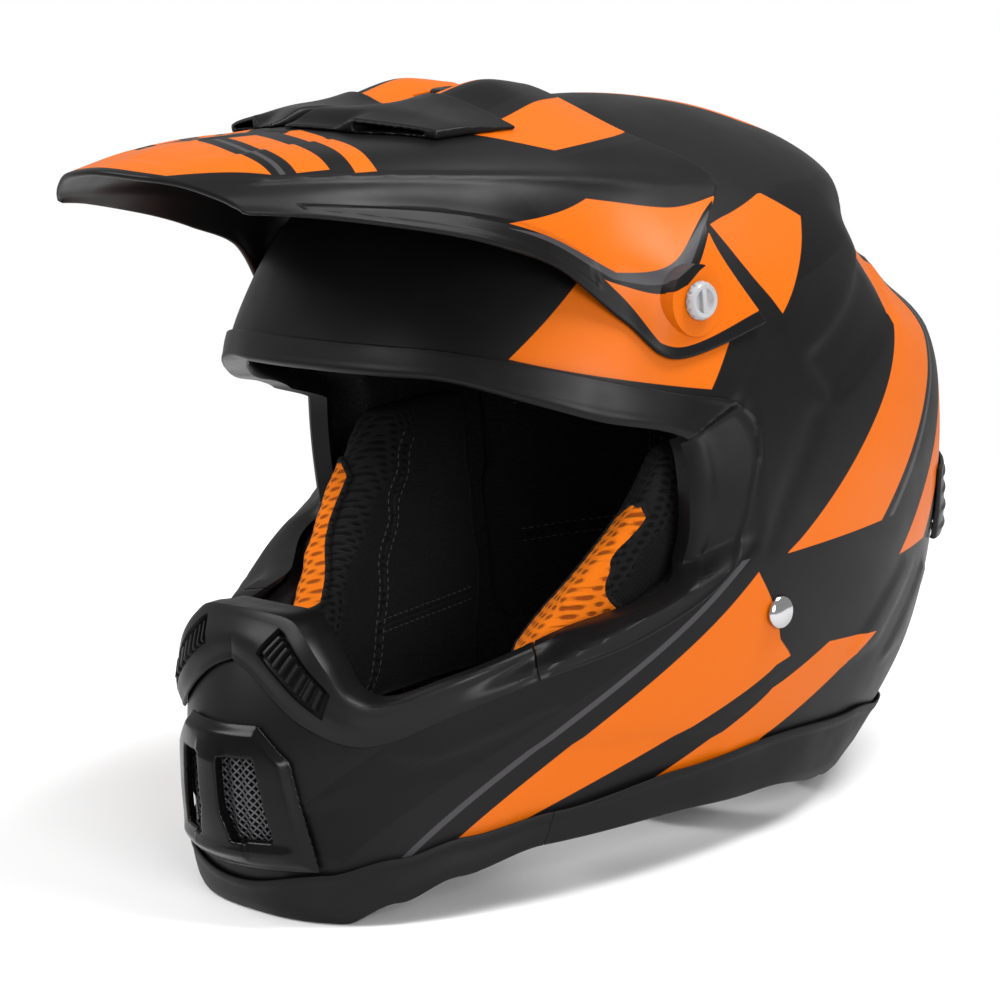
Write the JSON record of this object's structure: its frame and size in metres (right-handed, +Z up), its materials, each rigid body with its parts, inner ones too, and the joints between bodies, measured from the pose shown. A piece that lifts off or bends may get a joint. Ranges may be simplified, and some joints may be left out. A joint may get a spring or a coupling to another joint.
{
  "type": "motocross helmet",
  "caption": "Full-face off-road helmet with a long peaked visor, a wide eyeport, a vented chin bar, a padded liner and a buckled chin strap.",
  "frame": {"origin": "middle of the neck opening, on the plane that the helmet rests on", "axes": "+Z up, the face looks along -Y, the wearer's left side is +X"},
  "size_m": [0.2548, 0.3794, 0.2955],
  "materials": {
    "shell_paint": "matte charcoal lacquer with printed panels",
    "visor_plastic": "matte charcoal injection moulding with printed panels",
    "foam": "black expanded foam",
    "gasket": "satin soft plastic",
    "guard_plastic": "satin charcoal",
    "trim_rubber": "matte black",
    "vent_plastic": "satin black",
    "wire_mesh": "blackened woven wire",
    "screw_metal": "polished, dished",
    "black_plastic": "satin moulding",
    "washer_rubber": "matte",
    "brass_insert": "turned",
    "pad_fabric": "black spacer mesh and fleece",
    "accent_mesh": "orange spacer mesh",
    "rivet_chrome": "polished dome",
    "plate_steel": "stamped",
    "strap_webbing": "black woven webbing",
    "ring_steel": "nickel plated"
  },
  "bodies": {
    "helmet": {"outer_shell": "shell_paint", "exhaust_hood_left": "shell_paint", "exhaust_hood_right": "shell_paint", "impact_liner": "foam", "chin_liner": "foam", "eyeport_trim": "gasket", "nose_guard": "guard_plastic", "base_trim_front": "trim_rubber", "base_trim_rear": "trim_rubber", "chin_vent_frame": "vent_plastic", "inlet_left": "vent_plastic", "inlet_right": "vent_plastic", "chin_vent_mesh": "wire_mesh", "centre_mount": "black_plastic", "pad_snap_left_1": "black_plastic", "pad_snap_left_2": "black_plastic", "pad_snap_left_3": "black_plastic", "pad_snap_right_1": "black_plastic", "pad_snap_right_2": "black_plastic", "pad_snap_right_3": "black_plastic", "side_washer_left": "washer_rubber", "side_washer_right": "washer_rubber", "side_insert_left": "brass_insert", "side_insert_right": "brass_insert", "crown_pad": "pad_fabric", "rear_pad": "pad_fabric", "neck_roll": "pad_fabric", "chin_pad": "pad_fabric", "cheek_pad_left": "pad_fabric", "cheek_pad_right": "pad_fabric", "cheek_panel_left": "accent_mesh", "cheek_panel_right": "accent_mesh", "strap_rivet_left": "rivet_chrome", "strap_rivet_right": "rivet_chrome", "anchor_plate_left": "plate_steel", "anchor_plate_right": "plate_steel"},
    "visor_unit": {"visor": "visor_plastic", "visor_hood_left": "visor_plastic", "visor_hood_right": "visor_plastic"},
    "chin_strap": {"strap_left": "strap_webbing", "strap_right": "strap_webbing", "d_ring_inner": "ring_steel", "d_ring_outer": "ring_steel", "strap_snap_cap": "black_plastic", "strap_snap_base": "black_plastic"},
    "left_screw": {"side_screw_left": "screw_metal"},
    "right_screw": {"side_screw_right": "screw_metal"},
    "middle_screw": {"centre_screw": "black_plastic"}
  },
  "joints": [
    {"name": "visor_tilt", "type": "hinge", "parent": "helmet", "child": "visor_unit", "pos_m": [0, -0.0305, 0.2175], "axis": [1, 0, 0], "range_deg": [-3, 5]},
    {"name": "left_screw_turn", "type": "hinge", "parent": "helmet", "child": "left_screw", "pos_m": [0.12, -0.0305, 0.2175], "axis": [1, 0, 0], "range_deg": [0, 90]},
    {"name": "right_screw_turn", "type": "hinge", "parent": "helmet", "child": "right_screw", "pos_m": [-0.12, -0.0305, 0.2175], "axis": [-1, 0, 0], "range_deg": [0, 90]},
    {"name": "middle_screw_turn", "type": "hinge", "parent": "helmet", "child": "middle_screw", "pos_m": [0, -0.0365, 0.292], "axis": [0, 0, 1], "range_deg": [0, 90]},
    {"name": "strap_swing", "type": "hinge", "parent": "helmet", "child": "chin_strap", "pos_m": [0, 0.0005, 0.094], "axis": [1, 0, 0], "range_deg": [-10, 10]}
  ]
}
